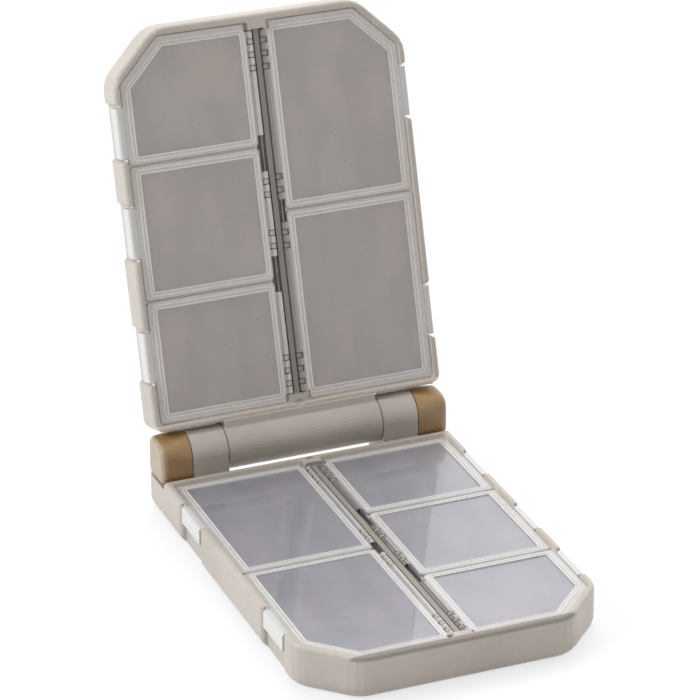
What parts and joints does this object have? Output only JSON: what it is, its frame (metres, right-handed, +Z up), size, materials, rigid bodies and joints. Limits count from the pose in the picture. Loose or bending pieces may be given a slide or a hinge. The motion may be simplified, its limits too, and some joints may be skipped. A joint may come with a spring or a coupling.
{
  "type": "terminal tackle box",
  "caption": "Small folding tackle box: two shallow trays of lidded compartments on one long friction hinge, standing open, with clear lids and finger tabs",
  "frame": {"origin": "Centre of the lower tray's flat underside, which is the face that the open box lies on", "axes": "+X along the main hinge to the right as seen from the front, +Y from the lower tray's far end towards the main hinge, +Z up"},
  "size_m": [0.0908, 0.1685, 0.1386],
  "materials": {
    "grey_plastic": "satin",
    "clear_plastic": "clear, slightly frosted",
    "tan_plastic": "satin",
    "steel": "drawn wire",
    "white_nylon": "smooth"
  },
  "bodies": {
    "lower": {"lower_tray": "grey_plastic", "lower_lid_rod_long": "steel", "lower_lid_rod_short": "steel", "hinge_rod": "steel", "hinge_cap_left": "tan_plastic", "hinge_cap_right": "tan_plastic", "friction_washer_left": "white_nylon", "friction_washer_right": "white_nylon"},
    "upper": {"upper_tray": "grey_plastic", "upper_lid_rod_long": "steel", "upper_lid_rod_short": "steel"},
    "lower_lid_long_near_body": {"lower_lid_long_near": "clear_plastic"},
    "lower_lid_long_far_body": {"lower_lid_long_far": "clear_plastic"},
    "lower_lid_short_near_body": {"lower_lid_short_near": "clear_plastic"},
    "lower_lid_short_middle_body": {"lower_lid_short_middle": "clear_plastic"},
    "lower_lid_short_far_body": {"lower_lid_short_far": "clear_plastic"},
    "upper_lid_long_near_body": {"upper_lid_long_near": "clear_plastic"},
    "upper_lid_long_far_body": {"upper_lid_long_far": "clear_plastic"},
    "upper_lid_short_near_body": {"upper_lid_short_near": "clear_plastic"},
    "upper_lid_short_middle_body": {"upper_lid_short_middle": "clear_plastic"},
    "upper_lid_short_far_body": {"upper_lid_short_far": "clear_plastic"}
  },
  "joints": [
    {"name": "main_hinge", "type": "hinge", "parent": "lower", "child": "upper", "pos_m": [0, 0.06675, 0.01735], "axis": [-1, 0, 0], "range_deg": [-106.4, 73.6]},
    {"name": "lower_lid_long_near_hinge", "type": "hinge", "parent": "lower", "child": "lower_lid_long_near_body", "pos_m": [-0.00195, 0.0286, 0.0113], "axis": [0, 1, 0], "range_deg": [0, 90]},
    {"name": "lower_lid_long_far_hinge", "type": "hinge", "parent": "lower", "child": "lower_lid_long_far_body", "pos_m": [-0.00195, -0.02825, 0.0113], "axis": [0, 1, 0], "range_deg": [0, 90]},
    {"name": "lower_lid_short_near_hinge", "type": "hinge", "parent": "lower", "child": "lower_lid_short_near_body", "pos_m": [0.00195, 0.0387, 0.0113], "axis": [0, -1, 0], "range_deg": [0, 90]},
    {"name": "lower_lid_short_middle_hinge", "type": "hinge", "parent": "lower", "child": "lower_lid_short_middle_body", "pos_m": [0.00195, 0.0003, 0.0113], "axis": [0, -1, 0], "range_deg": [0, 90]},
    {"name": "lower_lid_short_far_hinge", "type": "hinge", "parent": "lower", "child": "lower_lid_short_far_body", "pos_m": [0.00195, -0.0381, 0.0113], "axis": [0, -1, 0], "range_deg": [0, 90]},
    {"name": "upper_lid_long_near_hinge", "type": "hinge", "parent": "upper", "child": "upper_lid_long_near_body", "pos_m": [0.00195, 0.07508, 0.05467], "axis": [0, -0.2823, -0.9593], "range_deg": [0, 90]},
    {"name": "upper_lid_long_far_hinge", "type": "hinge", "parent": "upper", "child": "upper_lid_long_far_body", "pos_m": [0.00195, 0.09113, 0.1092], "axis": [0, -0.2823, -0.9593], "range_deg": [0, 90]},
    {"name": "upper_lid_short_near_hinge", "type": "hinge", "parent": "upper", "child": "upper_lid_short_near_body", "pos_m": [-0.00195, 0.07222, 0.04498], "axis": [0, 0.2823, 0.9593], "range_deg": [0, 90]},
    {"name": "upper_lid_short_middle_hinge", "type": "hinge", "parent": "upper", "child": "upper_lid_short_middle_body", "pos_m": [-0.00195, 0.08306, 0.08182], "axis": [0, 0.2823, 0.9593], "range_deg": [0, 90]},
    {"name": "upper_lid_short_far_hinge", "type": "hinge", "parent": "upper", "child": "upper_lid_short_far_body", "pos_m": [-0.00195, 0.09391, 0.11865], "axis": [0, 0.2823, 0.9593], "range_deg": [0, 90]}
  ]
}
